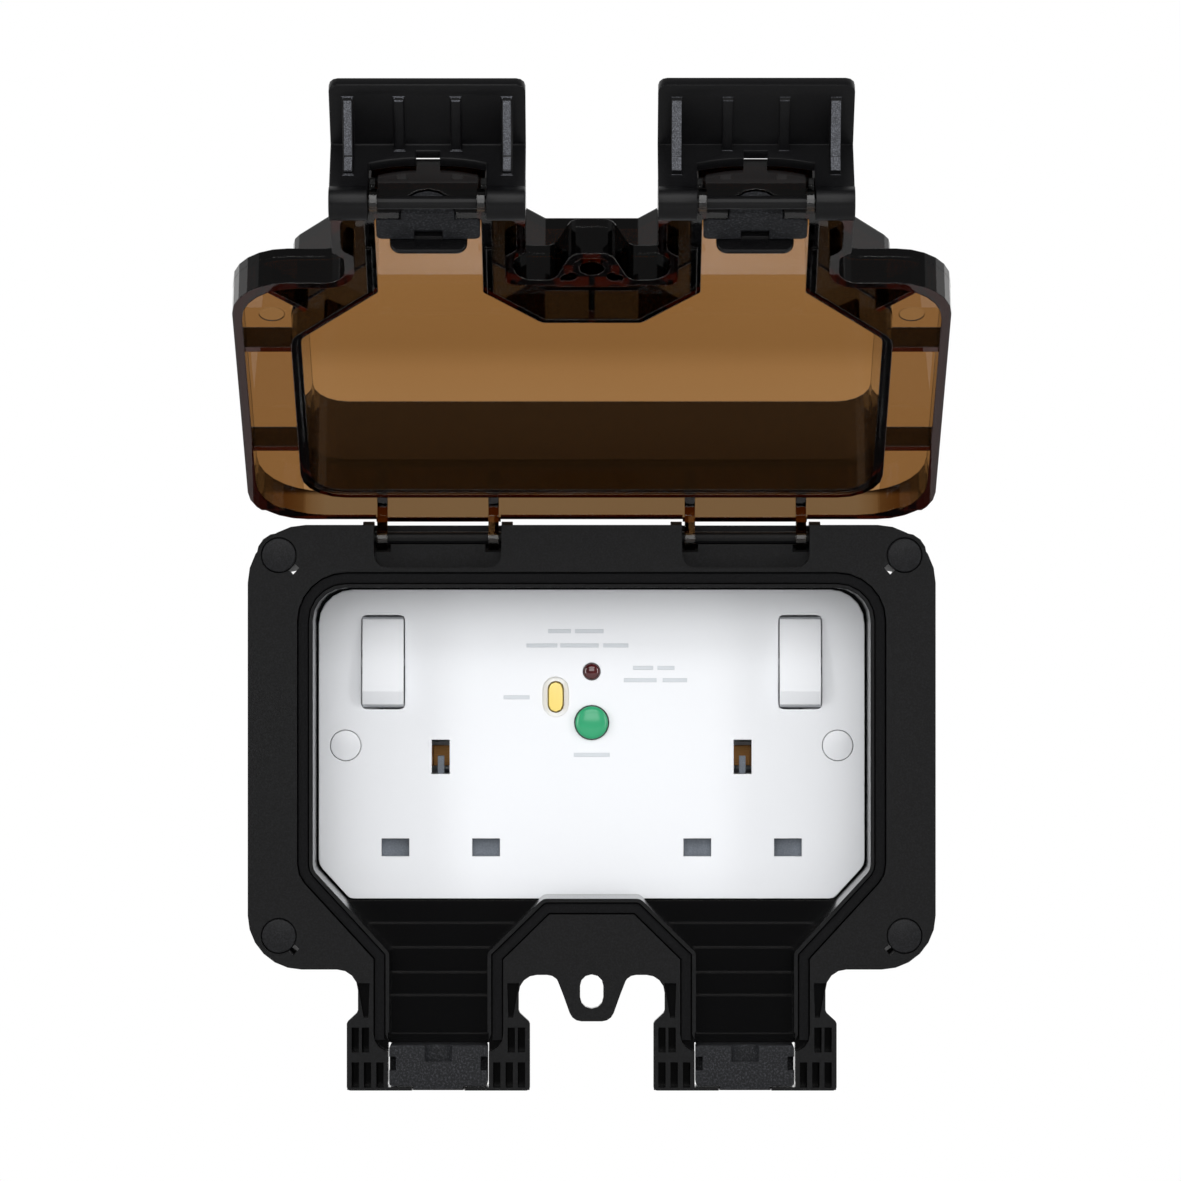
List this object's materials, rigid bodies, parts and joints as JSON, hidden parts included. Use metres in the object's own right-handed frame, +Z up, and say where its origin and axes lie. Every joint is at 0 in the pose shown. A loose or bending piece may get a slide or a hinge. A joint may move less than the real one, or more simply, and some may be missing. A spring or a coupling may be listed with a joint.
{
  "type": "rcd wall socket",
  "caption": "Weatherproof double switched wall socket with residual-current protection, hinged smoked lid, sprung test and reset buttons and over-centre latches.",
  "frame": {"origin": "centre of the wiring box's back face, on the wall plane", "axes": "+X to the right seen from the front, +Z up, -Y out of the wall towards the user"},
  "size_m": [0.166, 0.1758, 0.2358],
  "materials": {
    "black_abs": "moulded black ABS, fine spark texture outside, gloss inside",
    "black_rubber": "soft black elastomer, matt",
    "smoked_lid": "smoked brown clear polycarbonate",
    "white_urea": "white urea moulding, satin gloss",
    "brass": "pressed strip",
    "zinc_steel": "zinc plated",
    "black_nylon": "black nylon rod",
    "grey_nylon": "grey nylon",
    "green_button": "green, gloss",
    "yellow_button": "yellow, gloss",
    "red_lens": "dark red moulded lens, clear gloss"
  },
  "bodies": {
    "housing": {"rear_housing": "black_abs", "gasket_outer": "black_rubber", "gasket_middle": "black_rubber", "faceplate": "white_urea", "led_lens": "red_lens", "socket_rear_cover": "white_urea", "rcd_module": "grey_nylon", "earth_bar": "brass", "corner_cap_top_left": "black_abs", "corner_cap_top_right": "black_abs", "corner_cap_bottom_left": "black_abs", "corner_cap_bottom_right": "black_abs", "base_cable_seal_left": "black_rubber", "hinge_pin_left": "black_nylon", "plate_screw_left": "zinc_steel", "plate_screw_cap_left": "white_urea", "live_contact_left": "brass", "neutral_contact_left": "brass", "base_cable_seal_right": "black_rubber", "hinge_pin_right": "black_nylon", "plate_screw_right": "zinc_steel", "plate_screw_cap_right": "white_urea", "live_contact_right": "brass", "neutral_contact_right": "brass", "terminal_screw_live": "brass", "terminal_screw_earth": "brass", "terminal_screw_neutral": "brass"},
    "lid": {"lid_shell": "smoked_lid", "lid_cable_seal_left": "black_rubber", "lid_cable_seal_right": "black_rubber", "latch_pin_left": "black_nylon", "latch_pin_right": "black_nylon"},
    "latch_left": {"latch_left": "black_abs"},
    "latch_right": {"latch_right": "black_abs"},
    "rocker_left": {"rocker_left": "white_urea"},
    "rocker_right": {"rocker_right": "white_urea"},
    "test_button": {"test_button": "yellow_button"},
    "reset_button": {"reset_button": "green_button"},
    "shutter_left": {"shutter_left": "grey_nylon"},
    "shutter_right": {"shutter_right": "grey_nylon"}
  },
  "joints": [
    {"name": "lid_hinge", "type": "hinge", "parent": "housing", "child": "lid", "pos_m": [0, -0.056, 0.05055], "axis": [1, 0, 0], "range_deg": [0, 120]},
    {"name": "latch_left_hinge", "type": "hinge", "parent": "lid", "child": "latch_left", "pos_m": [-0.037, -0.17219, 0.12491], "axis": [1, 0, 0], "range_deg": [0, 193]},
    {"name": "latch_right_hinge", "type": "hinge", "parent": "lid", "child": "latch_right", "pos_m": [0.037, -0.17219, 0.12491], "axis": [1, 0, 0], "range_deg": [0, 193]},
    {"name": "rocker_left_tilt", "type": "hinge", "parent": "housing", "child": "rocker_left", "pos_m": [-0.0511, -0.034, 0.0202], "axis": [1, 0, 0], "range_deg": [0, 13]},
    {"name": "rocker_right_tilt", "type": "hinge", "parent": "housing", "child": "rocker_right", "pos_m": [0.0511, -0.034, 0.0202], "axis": [1, 0, 0], "range_deg": [0, 13]},
    {"name": "test_press", "type": "slide", "parent": "housing", "child": "test_button", "axis": [0, 1, 0], "range_m": [0, 0.0012], "stiffness_N_per_m": 600, "springref_m": -0.0005},
    {"name": "reset_press", "type": "slide", "parent": "housing", "child": "reset_button", "axis": [0, 1, 0], "range_m": [0, 0.002], "stiffness_N_per_m": 600, "springref_m": -0.0005},
    {"name": "shutter_left_slide", "type": "slide", "parent": "housing", "child": "shutter_left", "axis": [0, 0, -1], "range_m": [0, 0.0052], "stiffness_N_per_m": 60, "springref_m": -0.001},
    {"name": "shutter_right_slide", "type": "slide", "parent": "housing", "child": "shutter_right", "axis": [0, 0, -1], "range_m": [0, 0.0052], "stiffness_N_per_m": 60, "springref_m": -0.001}
  ]
}
